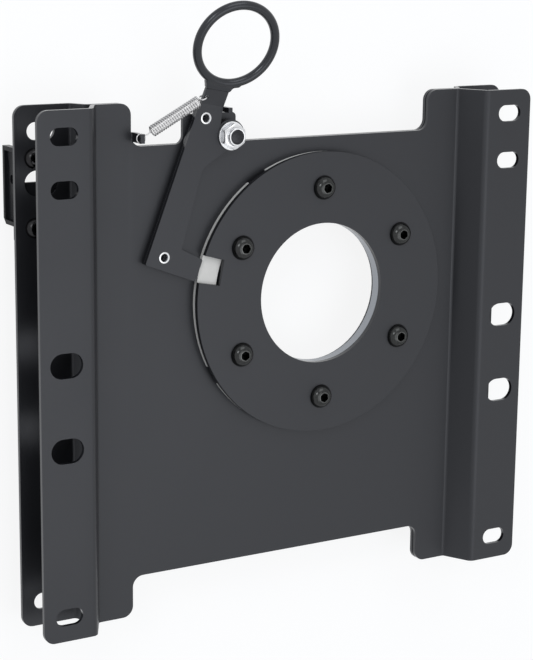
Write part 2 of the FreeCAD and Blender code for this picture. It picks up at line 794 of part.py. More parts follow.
# Side bracket
def side_bracket():
    """Angle under the flange, whose upright leaf is a shallow tray open to the left."""
    left = -half_width + bracket_tray_set_in
    tray_bottom = bracket_top_y - bracket_tray_length
    leaf = Part.makeBox(bracket_leaf_width, bracket_length, bracket_sheet,
                        point(left, bracket_bottom_y, -bracket_sheet))
    tray = Part.makeBox(bracket_tray_depth, bracket_tray_length, bracket_drop,
                        point(left, tray_bottom, -bracket_drop))
    hollow = Part.makeBox(bracket_tray_depth - bracket_sheet, bracket_tray_length - 2 * bracket_sheet,
                          bracket_drop - 2 * bracket_sheet,
                          point(left, tray_bottom + bracket_sheet, bracket_sheet - bracket_drop))
    gap = Part.makeBox(bracket_leaf_width, bracket_gap_width, bracket_sheet,
                       point(left + bracket_gap_start, second_row_y + bracket_gap_over_row, -bracket_sheet))
    hole_start = point(left + bracket_tray_depth - bracket_sheet, second_row_y + bracket_hole_over_row,
                       -bracket_hole_depth)
    hole = Part.makeCylinder(bracket_hole_diameter / 2, bracket_sheet, hole_start, point(1, 0, 0))
    body = leaf.fuse(tray).removeSplitter()
    corner = [e for e in body.Edges if abs(e.CenterOfMass.y - tray_bottom) < 1e-6
              and abs(e.CenterOfMass.z + bracket_drop) < 1e-6]
    body = body.makeChamfer(bracket_chamfer, corner).cut([hollow, gap, hole])
    return drilled(body, bracket_screw_places(), bracket_screw_diameter + bracket_screw_play,
                   -bracket_sheet, 0)


def bracket_screws():
    length = sheet + bracket_sheet + bracket_nut_height + bracket_screw_proud
    return Part.makeCompound([
        button_screw(bracket_head_diameter, bracket_head_height, bracket_screw_diameter, length,
                     bracket_key_width, bracket_key_depth, x, y, sheet) for x, y in bracket_screw_places()])


def bracket_nuts():
    bottom = -bracket_sheet - bracket_nut_height
    return Part.makeCompound([
        nut(bracket_nut_across_flats, bracket_nut_height, bracket_screw_diameter, bottom, x, y)
        for x, y in bracket_screw_places()])


pieces = {
    "lower_plate": lower_plate,
    "upper_plate": upper_plate,
    "hub_ring": hub_ring,
    "retaining_disc": retaining_disc,
    "slip_segments": slip_segments,
    "lower_slip_ring": lower_slip_ring,
    "clamp_screws": clamp_screws,
    "clamp_washers": clamp_washers,
    "clamp_nuts": clamp_nuts,
    "lever_front_plate": lever_front_plate,
    "lever_back_plate": lever_back_plate,
    "lever_rivets": lever_rivets,
    "ring_grip": ring_grip,
    "pivot_stud": pivot_stud,
    "pivot_spacer": pivot_spacer,
    "pivot_bush": pivot_bush,
    "pivot_washer": pivot_washer,
    "pivot_nut": pivot_nut,
    "tension_spring": tension_spring,
    "side_bracket": side_bracket,
    "bracket_screws": bracket_screws,
    "bracket_nuts": bracket_nuts,
}

os.makedirs("parts", exist_ok=True)
for name, build in pieces.items():
    shape = build()
    shape.exportStep(f"parts/{name}.step")
    print(name, "solids", len(shape.Solids), "valid", shape.isValid(), "volume", round(shape.Volume, 1))
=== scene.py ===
import bmesh
import bpy
import math
from mathutils import Matrix, Vector


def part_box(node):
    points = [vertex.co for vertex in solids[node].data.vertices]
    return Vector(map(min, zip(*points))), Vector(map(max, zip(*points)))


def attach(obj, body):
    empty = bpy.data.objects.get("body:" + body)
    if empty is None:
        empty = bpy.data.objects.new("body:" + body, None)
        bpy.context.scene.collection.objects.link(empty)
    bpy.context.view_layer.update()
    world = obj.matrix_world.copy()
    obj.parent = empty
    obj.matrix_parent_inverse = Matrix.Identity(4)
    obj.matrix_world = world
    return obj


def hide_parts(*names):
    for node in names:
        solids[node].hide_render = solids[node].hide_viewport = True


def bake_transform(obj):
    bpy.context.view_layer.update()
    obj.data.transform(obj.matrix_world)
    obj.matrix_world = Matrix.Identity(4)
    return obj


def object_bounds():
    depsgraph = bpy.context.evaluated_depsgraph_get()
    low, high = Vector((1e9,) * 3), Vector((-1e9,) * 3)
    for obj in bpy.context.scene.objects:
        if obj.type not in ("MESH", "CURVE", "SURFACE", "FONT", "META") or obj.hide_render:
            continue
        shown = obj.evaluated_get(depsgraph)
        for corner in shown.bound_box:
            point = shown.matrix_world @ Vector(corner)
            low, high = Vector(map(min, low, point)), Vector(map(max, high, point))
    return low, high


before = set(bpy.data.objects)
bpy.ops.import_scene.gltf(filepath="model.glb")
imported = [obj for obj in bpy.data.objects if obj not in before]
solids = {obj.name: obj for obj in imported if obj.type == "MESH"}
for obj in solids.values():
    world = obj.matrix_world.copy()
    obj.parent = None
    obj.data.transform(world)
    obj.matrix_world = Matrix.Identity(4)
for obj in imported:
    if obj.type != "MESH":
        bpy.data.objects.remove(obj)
cad_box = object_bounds()
collection = bpy.context.scene.collection
bpy.context.scene.view_settings.view_transform = "Standard"


# Camera and studio. The camera stands where the photograph was taken from, over the left side of the
# plates. A pale floor lies under the base, and broad lamps stand round it in a white room.
lens_mm = 102.28
sensor_mm = 36.0
camera_spot = (-0.683512, 0.306551, 1.153114)
camera_right = Vector((0.862406, 0.011106, 0.506095))
camera_up = Vector((0.099897, 0.976365, -0.191654))
camera_back = camera_right.cross(camera_up)
camera = bpy.data.objects.new("camera", bpy.data.cameras.new("camera"))
camera.data.sensor_width = sensor_mm
camera.data.lens = lens_mm
camera_turn = Matrix((camera_right, camera_up, camera_back)).transposed().to_4x4()
camera.matrix_world = Matrix.Translation(camera_spot) @ camera_turn
collection.objects.link(camera)
bpy.context.scene.camera = camera


class Value:
    """A number or colour that flows through the nodes of a tree."""

    def __init__(self, nodes, socket):
        self.nodes = nodes
        self.socket = socket

    def __add__(self, other):
        return self.nodes.maths("ADD", self, other)

    def __sub__(self, other):
        return self.nodes.maths("SUBTRACT", self, other)

    def __rsub__(self, other):
        return self.nodes.maths("SUBTRACT", other, self)

    def __mul__(self, other):
        return self.nodes.maths("MULTIPLY", self, other)

    __radd__ = __add__
    __rmul__ = __mul__


class Nodes:
    """A tree of nodes, wired by calls."""

    def __init__(self, tree):
        self.tree = tree

    def node(self, kind, settings=None, sockets=None, out=0):
        """Adds a node with its settings and its sockets' values or links, and gives one output."""
        made = self.tree.nodes.new(kind)
        for name, value in (settings or {}).items():
            setattr(made, name, value)
        for name, value in (sockets or {}).items():
            self.feed(made.inputs[name], value)
        return Value(self, made.outputs[out])

    def feed(self, socket, value):
        if isinstance(value, Value):
            self.tree.links.new(value.socket, socket)
        else:
            socket.default_value = value

    def maths(self, operation, first, second):
        return self.node("ShaderNodeMath", {"operation": operation}, {0: first, 1: second})

    def to_the_camera(self, bright, dull):
        """One shader for what the camera, gloss and glass see, and another for all other light."""
        seen = self.node("ShaderNodeLightPath", out="Is Camera Ray")
        path = seen.socket.node
        for name in ("Is Glossy Ray", "Is Transmission Ray"):
            seen = self.maths("MAXIMUM", seen, Value(self, path.outputs[name]))
        return self.node("ShaderNodeMixShader", None, {0: seen, 1: dull, 2: bright})


class Finish(Nodes):
    """A material. Constants sit on the shader's own sockets."""

    first_colour = 6
    second_colour = 7
    mixed_colour = 2

    def __init__(self, name, constants=None):
        self.material = bpy.data.materials.new(name)
        self.material.use_nodes = True
        super().__init__(self.material.node_tree)
        self.shader = self.tree.nodes["Principled BSDF"]
        self.place = self.node("ShaderNodeTexCoord", out="Object")
        for socket, value in (constants or {}).items():
            self.shader.inputs[socket].default_value = value

    def noise(self, scale, detail):
        return self.node("ShaderNodeTexNoise", None,
                         {"Vector": self.place, "Scale": scale, "Detail": detail})

    def height(self):
        return self.node("ShaderNodeSeparateXYZ", None, {0: self.place}, "Z")

    def blend(self, share, low, high):
        return self.node("ShaderNodeMix", {"data_type": "RGBA"},
                         {"Factor": share, self.first_colour: (*low, 1), self.second_colour: (*high, 1)},
                         self.mixed_colour)

    def bump(self, height, distance, strength):
        return self.node("ShaderNodeBump", None,
                         {"Height": height, "Distance": distance, "Strength": strength})

    def shade(self, **values):
        """Feeds the shader, where Base_Color stands for the socket Base Color."""
        for name, value in values.items():
            self.feed(self.shader.inputs[name.replace("_", " ")], value)
        return self.material


floor_gap = 0.0002
floor_level = cad_box[0].z - floor_gap
floor_half = 4.0
floor_colour = (0.80, 0.84, 0.90, 1)
floor_glow_share = 0.80
floor_glow_strength = 1.085
pure_white = (1, 1, 1, 1)
floor_paint = Finish("studio_floor")
floor_matte = floor_paint.node("ShaderNodeBsdfDiffuse", None, {"Color": floor_colour})
floor_glow = floor_paint.node("ShaderNodeEmission", None,
                              {"Color": pure_white, "Strength": floor_glow_strength})
floor_seen = floor_paint.node("ShaderNodeMixShader", None,
                              {0: floor_glow_share, 1: floor_matte, 2: floor_glow})
floor_paint.feed(floor_paint.tree.nodes["Material Output"].inputs["Surface"],
                 floor_paint.to_the_camera(floor_seen, floor_matte))
floor_corners = [(x * floor_half, y * floor_half, floor_level)
                 for x, y in ((-1, -1), (1, -1), (1, 1), (-1, 1))]
floor_mesh = bpy.data.meshes.new("studio_floor")
floor_mesh.from_pydata(floor_corners, [], [(0, 1, 2, 3)])
floor_mesh.materials.append(floor_paint.material)
floor = bpy.data.objects.new("studio_floor", floor_mesh)
collection.objects.link(floor)

room_light = 0.42
room_colour = (0.955, 0.98, 1.0, 1)
room = bpy.data.worlds.new("room")
room.use_nodes = True
bpy.context.scene.world = room
walls = Nodes(room.node_tree)
lit = walls.node("ShaderNodeBackground", None, {"Color": room_colour, "Strength": room_light})
white = walls.node("ShaderNodeBackground", None, {"Color": pure_white, "Strength": 1.0})
walls.feed(room.node_tree.nodes["World Output"].inputs["Surface"], walls.to_the_camera(white, lit))

# Each lamp has its place, its size in metres and its power in watts, and looks at the origin.
lamps = {"overhead": ((0.10, -0.25, 1.5), 1.0, 4.2),
         "over_left": ((-1.3, 0.9, 1.3), 0.6, 6.0),
         "over_rear": ((0.2, 1.7, 1.3), 1.2, 8.0),
         "over_right": ((0.93, -0.31, 1.5), 0.55, 0.3)}
for name, (spot, size, power) in lamps.items():
    lamp = bpy.data.objects.new(name, bpy.data.lights.new(name, "AREA"))
    lamp.data.size = size
    lamp.data.energy = power
    lamp.location = spot
    lamp.rotation_mode = "QUATERNION"
    lamp.rotation_quaternion = (-Vector(spot)).to_track_quat("-Z", "Y")
    collection.objects.link(lamp)


# Lower plate: 3 mm steel sheet pressed to a shallow hat, with two flanges that are bolted to the
# vehicle. Its cut edges are broken, and it has a fine satin black powder coat.
sheet_edge = 0.00035
plate_roughness = 0.42
coat_dark = (0.0085, 0.0089, 0.0106)
coat_light = (0.0150, 0.0157, 0.0186)
coat_shine = (0.90, 0.93, 1.0, 1)
peel_scale = 950.0
fleck_scale = 3600.0
cloud_scale = 16.0
weld_within = 2e-6
sliver_within = 1e-6
flat_within = math.radians(0.6)
corner_from = math.radians(32.0)


def powder_coat(name, roughness, gloss=0.5):
    """Black powder coat: a fine orange peel, small flecks and a cloudy change of tone.

    It flows out smoother on the upright faces that the sheet's cut edges leave.
    """
    finish = Finish(name, {"Specular IOR Level": gloss, "Specular Tint": coat_shine})
    peel = finish.noise(scale=peel_scale, detail=3.0)
    fleck = finish.noise(scale=fleck_scale, detail=2.0)
    cloud = finish.noise(scale=cloud_scale, detail=3.0)
    tone = peel * 0.35 + fleck * 0.4 + cloud * 0.25
    facing = finish.node("ShaderNodeNewGeometry", out="True Normal")
    facing_up = finish.node("ShaderNodeSeparateXYZ", None, {0: facing}, "Z")
    level = finish.maths("ABSOLUTE", facing_up, 0.0)
    cut_edge = 1.0 - finish.maths("MINIMUM", level * 8.0, 1.0)
    rough = roughness * (1.0 - cut_edge * 0.6) + (cloud - 0.5) * 0.10 + (fleck - 0.5) * 0.14
    return finish.shade(Base_Color=finish.blend(tone, low=coat_dark, high=coat_light), Roughness=rough,
                        Normal=finish.bump(peel + fleck * 0.4, distance=0.00005, strength=0.6))


def rounded(node, edge, segments=2):
    """A merged copy of a solid with its sharp edges rounded, which stands for it."""
    shell = bmesh.new()
    shell.from_mesh(solids[node].data)
    bmesh.ops.remove_doubles(shell, verts=shell.verts, dist=weld_within)
    bmesh.ops.dissolve_degenerate(shell, edges=shell.edges, dist=sliver_within)
    bmesh.ops.dissolve_limit(shell, angle_limit=flat_within, verts=shell.verts, edges=shell.edges)
    mesh = bpy.data.meshes.new(node)
    shell.to_mesh(mesh)
    shell.free()
    mesh.materials.clear()
    mesh.shade_smooth()
    mesh.set_sharp_from_angle(angle=corner_from)
    piece = placed(node + "_finished", mesh)
    bevel = piece.modifiers.new("edges", "BEVEL")
    bevel.width = edge
    bevel.segments = segments
    bevel.limit_method = "ANGLE"
    bevel.angle_limit = corner_from
    bevel.use_clamp_overlap = True
    bevel.harden_normals = True
    return settled(piece)


def placed(name, mesh):
    """A mesh put in the scene."""
    piece = bpy.data.objects.new(name, mesh)
    collection.objects.link(piece)
    return piece


def settled(piece):
    """The piece as a plain mesh, with its modifiers worked in and removed."""
    graph = bpy.context.evaluated_depsgraph_get()
    mesh = bpy.data.meshes.new_from_object(piece.evaluated_get(graph))
    piece.modifiers.clear()
    piece.data = mesh
    return piece


def coat(piece, material):
    """Puts one finish all over a piece."""
    piece.data.materials.clear()
    piece.data.materials.append(material)


def dress(piece, material, body, stands_for):
    """Gives a made piece its finish, its body and the solid that it stands for."""
    coat(piece, material)
    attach(piece, body)
    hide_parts(stands_for)


plate_paint = powder_coat("plate_powder_coat", plate_roughness)
dress(rounded("lower_plate", sheet_edge), plate_paint, "lower_body", "lower_plate")


# Side bracket: a small tray folded from steel sheet under the lower left flange, dipped black with a
# dull face. Two screws through the flange hold it.
bracket_edge = 0.0006
bracket_roughness = 0.62
bracket_gloss = 0.05
dull_black = powder_coat("bracket_dip_coat", bracket_roughness, bracket_gloss)
dress(rounded("side_bracket", bracket_edge, segments=3), dull_black, "lower_body",
      "side_bracket")


# Bracket screws: two black button head screws and their zinc nuts, in a straight row along the bracket.
# A screw is turned from rings, with a domed head, a flat crown round the key's hexagon, and a thread.
# The shares are of the pitch, the key or the head, and hold for both sizes of screw.
six_sides = math.radians(60)
round_sides = 48
edge_from = math.radians(30.0)
chamfer_slope = 0.577
thread_rows = 6
thread_depth = 0.54
thread_lead = 0.5
thread_end = 0.7
head_edge = 0.0002
dome_first = math.radians(24)
dome_rim = 0.12
dome_below_crown = 0.00004
crown_share = 1.27
crown_edge = 0.0001
mouth_share = 1.17
mouth_low_share = 1.16
mouth_depth = 0.0002
socket_depth = 0.62
socket_cone = 0.7
socket_point = 0.0003
nut_face_share = 0.95
nut_mouth = 0.0004
nut_play = 0.00002


def circle(radius, height):
    """Round ring, which is the same at every turn."""
    return lambda turn: (radius, height)


def hexagon(across, height, face=None, slope=chamfer_slope):
    """Ring of a hexagon. With a face radius its corners fall away, as a nut's chamfer leaves them."""
    def ring(turn):
        reach = across / 2 / math.cos((turn + six_sides / 2) % six_sides - six_sides / 2)
        return reach, height - slope * max(0.0, reach - face) if face else height
    return ring


def thread(radius, low, high, pitch):
    """Rings of a screw thread between two heights."""
    count = round((high - low) / pitch * thread_rows)

    def ring(height):
        fade = min(1.0, (height - low) / pitch, (high - height) / pitch)

        def wave(turn):
            share = (height / pitch - turn / (2 * math.pi)) % 1.0
            return radius - thread_depth * pitch * fade * (1 - abs(2 * share - 1)), height
        return wave
    return [ring(low + (high - low) * k / count) for k in range(count + 1)]


def dome(radius, crown, low, high, steps=9, first=0.0):
    """Rings of a dome, from its rim up to its flat crown. A first turn above 0 starts it at a slope."""
    rings = []
    for k in range(steps + 1):
        turn = first + (math.pi / 2 - first) * k / steps
        reach = (radius - crown) * math.cos(turn) / math.cos(first)
        rise = (math.sin(turn) - math.sin(first)) / (1 - math.sin(first))
        rings.append(circle(crown + reach, low + (high - low) * rise))
    return rings


def turned(name, rings, closed=False):
    """A mesh skinned over rings round the Z axis. It is closed on itself, or by flat ends."""
    shell = bmesh.new()
    loops = []
    for ring in rings:
        loop = []
        for k in range(round_sides):
            turn = 2 * math.pi * k / round_sides
            reach, height = ring(turn)
            loop.append(shell.verts.new((reach * math.cos(turn), reach * math.sin(turn), height)))
        loops.append(loop)
    pairs = list(zip(loops, loops[1:]))
    if closed:
        pairs.append((loops[-1], loops[0]))
    else:
        shell.faces.new(loops[0])
        shell.faces.new(loops[-1])
    for low, high in pairs:
        for k in range(round_sides):
            shell.faces.new((low[k - 1], low[k], high[k], high[k - 1]))
    bmesh.ops.recalc_face_normals(shell, faces=shell.faces)
    mesh = bpy.data.meshes.new(name)
    shell.to_mesh(mesh)
    shell.free()
    mesh.shade_smooth()
    mesh.set_sharp_from_angle(angle=edge_from)
    return mesh


def button_screw(name, shank, head, key, low, seat, top, pitch, run):
    """Button head socket screw, standing at its real heights on the Z axis."""
    crown = key / 2 * crown_share
    rim = seat + (top - seat) * dome_rim
    bottom = top - (top - seat) * socket_depth
    rings = [circle(shank / 2 - thread_end * pitch, low)]
    rings += thread(shank / 2, low + thread_lead * pitch, low + run, pitch)
    rings += [circle(shank / 2, seat), circle(head / 2 - head_edge, seat),
              circle(head / 2, seat + head_edge)]
    rings += dome(head / 2, crown + crown_edge, rim, top - dome_below_crown, first=dome_first)
    rings += [circle(crown - crown_edge, top), circle(key / 2 * mouth_share, top),
              circle(key / 2 * mouth_low_share, top - mouth_depth)]
    rings += [hexagon(key, top - mouth_depth), hexagon(key, bottom),
              circle(socket_point, bottom - key * socket_cone)]
    return turned(name, rings)


def hexagon_nut(name, across, shank, low, high):
    """Plain nut with both faces chamfered, for a screw's shank."""
    face = nut_face_share * across / 2
    bore = (shank + nut_play) / 2
    rings = [circle(bore, low + nut_mouth), circle(bore + nut_mouth, low), circle(face, low),
             hexagon(across, low, face, -chamfer_slope), hexagon(across, high, face), circle(face, high),
             circle(bore + nut_mouth, high), circle(bore, high - nut_mouth)]
    return turned(name, rings, closed=True)


def layout(name, sizes):
    """An empty Geometry Nodes tree with named inputs, which come back by name."""
    tree = bpy.data.node_groups.new(name, "GeometryNodeTree")
    tree.interface.new_socket("Geometry", in_out="INPUT", socket_type="NodeSocketGeometry")
    for size, kind in sizes.items():
        tree.interface.new_socket(size, in_out="INPUT", socket_type="NodeSocket" + kind)
    tree.interface.new_socket("Geometry", in_out="OUTPUT", socket_type="NodeSocketGeometry")
    nodes = Nodes(tree)
    given = tree.nodes.new("NodeGroupInput")
    return nodes, {socket.name: Value(nodes, socket) for socket in given.outputs if socket.name}


def closing(nodes, shapes, finish):
    """Ends a tree: its copies are made real and get their finish."""
    real = nodes.node("GeometryNodeRealizeInstances", None, {0: shapes})
    coated = nodes.node("GeometryNodeSetMaterial", None, {"Geometry": real, "Material": finish})
    nodes.feed(nodes.tree.nodes.new("NodeGroupOutput").inputs[0], coated)
    return nodes.tree


def straight_row():
    """Copies of one shape at even steps along a line."""
    nodes, given = layout("straight_row", {"Count": "Int", "First": "Vector", "Step": "Vector",
                                           "Finish": "Material"})
    line = nodes.node("GeometryNodeMeshLine", {"mode": "OFFSET"},
                      {"Count": given["Count"], "Start Location": given["First"],
                       "Offset": given["Step"]})
    copies = nodes.node("GeometryNodeInstanceOnPoints", None,
                        {"Points": line, "Instance": given["Geometry"]})
    return closing(nodes, copies, given["Finish"])


def laid_out(name, mesh, tree, sizes):
    """One mesh of all that a tree makes from a shape."""
    piece = placed(name, mesh)
    modifier = piece.modifiers.new("layout", "NODES")
    modifier.node_group = tree
    for socket in tree.interface.items_tree:
        if socket.in_out == "INPUT" and socket.name in sizes:
            modifier[socket.identifier] = sizes[socket.name]
    return settled(piece)


def steel_dark(name, low, high, roughness, highlight_above=None):
    """Blackened steel: a thin oily sheen with small marks. Above a given height the colour is painted
    brighter, as a painted highlight.
    """
    finish = Finish(name, {"Metallic": 1.0})
    mark = finish.noise(scale=700.0, detail=3.0)
    share = mark
    if highlight_above:
        share = mark * 0.4 + finish.maths("GREATER_THAN", finish.height(), highlight_above)
    return finish.shade(Base_Color=finish.blend(share, low, high), Roughness=roughness + mark * 0.14,
                        Normal=finish.bump(mark, distance=0.00003, strength=0.4))


def zinc_plate(name, tone, roughness):
    """Bright zinc plate with a faint cloud."""
    finish = Finish(name, {"Metallic": 1.0})
    cloud = finish.noise(scale=260.0, detail=3.0)
    fine = finish.noise(scale=2400.0, detail=2.0)
    clouded = tuple(0.84 * part for part in tone)
    return finish.shade(Base_Color=finish.blend(cloud, low=clouded, high=tone),
                        Roughness=roughness + cloud * 0.12 + (fine - 0.5) * 0.1,
                        Normal=finish.bump(fine, distance=0.00002, strength=0.4))


rows = straight_row()
zinc = zinc_plate("bright_zinc", tone=(0.70, 0.71, 0.73), roughness=0.20)
bracket_steel = steel_dark("bracket_screw_steel", low=(0.016, 0.016, 0.017),
                           high=(0.040, 0.040, 0.042), roughness=0.16)
bracket_head = 0.014
bracket_head_height = 0.0044
bracket_shank = 0.008
bracket_key = 0.005
bracket_pitch = 0.00125
bracket_thread = 0.009
bracket_low, bracket_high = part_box("bracket_screws")
bracket_row = {"Count": 2, "Finish": bracket_steel,
               "First": Vector((bracket_low.x + bracket_head / 2, bracket_low.y + bracket_head / 2, 0)),
               "Step": Vector((0, bracket_high.y - bracket_low.y - bracket_head, 0))}
bracket_screw = button_screw("bracket_screw", bracket_shank, bracket_head, bracket_key, bracket_low.z,
                             bracket_high.z - bracket_head_height, bracket_high.z, bracket_pitch,
                             bracket_thread)
dress(laid_out("bracket_screws_finished", bracket_screw, rows, bracket_row), bracket_steel,
      "lower_body", "bracket_screws")
bracket_nut_low, bracket_nut_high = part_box("bracket_nuts")
bracket_nut = hexagon_nut("bracket_nut", bracket_nut_high.x - bracket_nut_low.x, bracket_shank,
                          bracket_nut_low.z, bracket_nut_high.z)
dress(laid_out("bracket_nuts_finished", bracket_nut, rows, {**bracket_row, "Finish": zinc}), zinc,
      "lower_body", "bracket_nuts")


# Hub and slip ring: a turned, zinc plated ring on the lower plate, with a bore for the cables. A thin
# plastic ring round it keeps the two plates apart.
def turned_steel(name):
    """Dull zinc on a turned surface, with fine rings left by the tool."""
    finish = Finish(name, {"Metallic": 1.0})
    marks = finish.node("ShaderNodeTexNoise", {"noise_dimensions": "1D"},
                        {"W": finish.height(), "Scale": 5200.0})
    cloud = finish.noise(scale=120.0, detail=2.0)
    tone = finish.blend(marks, low=(0.23, 0.245, 0.27), high=(0.38, 0.40, 0.43))
    return finish.shade(Base_Color=tone, Roughness=0.24 + cloud * 0.14,
                        Normal=finish.bump(marks, distance=0.00004, strength=0.5))


def slip_plastic(name):
    """Natural low-friction plastic, slightly mottled."""
    finish = Finish(name)
    cloud = finish.noise(scale=140.0, detail=3.0)
    tone = finish.blend(cloud, low=(0.70, 0.70, 0.69), high=(0.84, 0.84, 0.83))
    return finish.shade(Base_Color=tone, Roughness=0.38 + cloud * 0.16,
                        Normal=finish.bump(cloud, distance=0.00005, strength=0.3))


slip_white = slip_plastic("slip_plastic")
coat(solids["hub_ring"], turned_steel("turned_zinc"))
coat(solids["lower_slip_ring"], slip_white)


# Upper plate: the same sheet pressed the other way, so that its flanges stand up to the seat's rails.
# Its ear carries the lever, and two fingers bent from its edge stop the lever and hold the spring.
dress(rounded("upper_plate", sheet_edge), plate_paint, "upper_body", "upper_plate")


# Retaining disc: a flat ring cut from thicker sheet with a notch for the lever's foot. Strips of slip
# plastic lie between it and the upper plate.
disc_edge = 0.0003
disc_roughness = 0.40
disc_paint = powder_coat("disc_powder_coat", disc_roughness)
dress(rounded("retaining_disc", disc_edge), disc_paint, "lower_body", "retaining_disc")
coat(solids["slip_segments"], slip_white)


# Clamp screws: six steel button head screws in a circle hold the disc, the hub and the lower plate
# together. Each has a zinc washer and nut underneath. Their keys ended up at any angle.
def round_row():
    """Copies of one shape round a circle, each turned about its own axis by chance."""
    nodes, given = layout("round_row", {"Count": "Int", "Circle Radius": "Float", "First Angle": "Float",
                                        "Centre": "Vector", "Spin": "Float", "Finish": "Material"})
    ring = nodes.node("GeometryNodeMeshCircle", None,
                      {"Vertices": given["Count"], "Radius": given["Circle Radius"]})
    start = nodes.node("ShaderNodeCombineXYZ", None, {"Z": given["First Angle"]})
    spots = nodes.node("GeometryNodeTransform", None,
                       {"Geometry": ring, "Translation": given["Centre"], "Rotation": start})
    least, most, number = 2, 3, 1
    chance = nodes.node("FunctionNodeRandomValue", {"data_type": "FLOAT"},
                        {least: 0.0, most: given["Spin"], "Seed": 7}, number)
    spin = nodes.node("ShaderNodeCombineXYZ", None, {"Z": chance})
    copies = nodes.node("GeometryNodeInstanceOnPoints", None,
                        {"Points": spots, "Instance": given["Geometry"], "Rotation": spin})
    return closing(nodes, copies, given["Finish"])


rounds = round_row()
clamp_head = 0.0175
clamp_shank = 0.010
clamp_key = 0.006
clamp_pitch = 0.0015
clamp_thread = 0.012
# The flat crown round each clamp screw's key is painted lighter than its dome: a painted highlight, not
# wear.
crown_highlight_depth = 0.00003
clamp_low, clamp_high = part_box("clamp_screws")
clamp_axis = (clamp_low + clamp_high) / 2
clamp_circle = (clamp_high.y - clamp_low.y - clamp_head) / 2
disc_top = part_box("retaining_disc")[1].z
clamp_steel = steel_dark("clamp_screw_steel", low=(0.022, 0.023, 0.024), high=(0.105, 0.108, 0.107),
                         roughness=0.10, highlight_above=clamp_high.z - crown_highlight_depth)
clamp_round = {"Count": 6, "Circle Radius": clamp_circle, "First Angle": math.pi / 2,
               "Centre": Vector((clamp_axis.x, clamp_axis.y, 0)), "Spin": 0.0, "Finish": zinc}
clamp_spun = {**clamp_round, "Spin": six_sides, "Finish": clamp_steel}
clamp_screw = button_screw("clamp_screw", clamp_shank, clamp_head, clamp_key, clamp_low.z,
                           disc_top, clamp_high.z, clamp_pitch, clamp_thread)
dress(laid_out("clamp_screws_finished", clamp_screw, rounds, clamp_spun), clamp_steel,
      "lower_body", "clamp_screws")

washer_low, washer_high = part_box("clamp_washers")
washer_radius = (washer_high.y - washer_low.y) / 2 - clamp_circle
washer_play = 0.00025
washer_bore = clamp_shank / 2 + washer_play
washer_edge = 0.0003
washer_rings = [circle(washer_bore, washer_low.z), circle(washer_radius - washer_edge, washer_low.z),
                circle(washer_radius, washer_low.z + washer_edge),
                circle(washer_radius, washer_high.z - washer_edge),
                circle(washer_radius - washer_edge, washer_high.z), circle(washer_bore, washer_high.z)]
washer = turned("clamp_washer", washer_rings, closed=True)
dress(laid_out("clamp_washers_finished", washer, rounds, clamp_round), zinc,
      "lower_body", "clamp_washers")

clamp_nut_low, clamp_nut_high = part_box("clamp_nuts")
clamp_across = clamp_nut_high.x - clamp_nut_low.x - 2 * clamp_circle * math.cos(six_sides / 2)
clamp_nut = hexagon_nut("clamp_nut", clamp_across, clamp_shank, clamp_nut_low.z, clamp_nut_high.z)
dress(laid_out("clamp_nuts_finished", clamp_nut, rounds, clamp_round), zinc,
      "lower_body", "clamp_nuts")


# Lever: two laser-cut plates with two hollow rivets. The front plate has the foot and the bent neck. It
# turns on a bronze bush and a spacer over the stud.
lever_edge = 0.0003
lever_roughness = 0.40
lever_paint = powder_coat("lever_powder_coat", lever_roughness)
dress(rounded("lever_back_plate", lever_edge), lever_paint, "lock_lever",
      "lever_back_plate")
dress(rounded("lever_front_plate", lever_edge), lever_paint, "lock_lever",
      "lever_front_plate")
bronze = Finish("bush_bronze", {"Metallic": 1.0})
pores = bronze.noise(scale=1800.0, detail=2.0)
bush_tone = bronze.blend(pores, low=(0.30, 0.20, 0.09), high=(0.58, 0.42, 0.21))
bush_bronze = bronze.shade(Base_Color=bush_tone, Roughness=0.35 + pores * 0.2)
coat(solids["pivot_bush"], bush_bronze)
coat(solids["pivot_spacer"], slip_white)

rivet_head = 0.0082
rivet_shank = 0.006
rivet_bore = 0.0048
rivet_mouth = 0.0056
rivet_lip = 0.0005
rivet_roll = rivet_lip * 0.7
rivet_soft = rivet_roll * 0.3
rivet_funnel_low = 0.0008
rivet_funnel_top = 0.0012
rivet_low, rivet_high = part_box("lever_rivets")
rivet_reach = rivet_head / 2
rivet_start = Vector((rivet_low.x + rivet_reach, rivet_low.y + rivet_reach, 0))
rivet_end = Vector((rivet_high.x - rivet_reach, rivet_high.y - rivet_reach, 0))
rivet_rings = [circle(rivet_bore / 2, rivet_low.z + rivet_funnel_low),
               circle(rivet_mouth / 2, rivet_low.z),
               circle(rivet_reach - rivet_roll, rivet_low.z),
               circle(rivet_reach, rivet_low.z + rivet_roll),
               circle(rivet_reach, rivet_low.z + rivet_lip),
               circle(rivet_shank / 2, rivet_low.z + rivet_lip),
               circle(rivet_shank / 2, rivet_high.z - rivet_lip),
               circle(rivet_reach, rivet_high.z - rivet_lip),
               circle(rivet_reach, rivet_high.z - rivet_roll),
               circle(rivet_reach - rivet_soft, rivet_high.z - rivet_soft),
               circle(rivet_reach - rivet_roll, rivet_high.z),
               circle(rivet_mouth / 2 + rivet_roll * 0.5, rivet_high.z),
               circle(rivet_mouth / 2, rivet_high.z - rivet_roll),
               circle(rivet_bore / 2, rivet_high.z - rivet_funnel_top)]
rivet = turned("lever_rivet", rivet_rings, closed=True)
rivet_row = {"Count": 2, "First": rivet_start, "Step": rivet_end - rivet_start, "Finish": zinc}
dress(laid_out("lever_rivets_finished", rivet, rows, rivet_row), zinc,
      "lock_lever", "lever_rivets")


# Pivot stud, washer and lock nut: the stud is black with a crowned end, and the nut has a round collar
# over its hexagon that grips the thread. Both the nut and the washer are zinc plated.
def standing(mesh, spot):
    """A turned mesh moved to where its axis stands."""
    mesh.transform(Matrix.Translation((spot.x, spot.y, 0)))
    return mesh


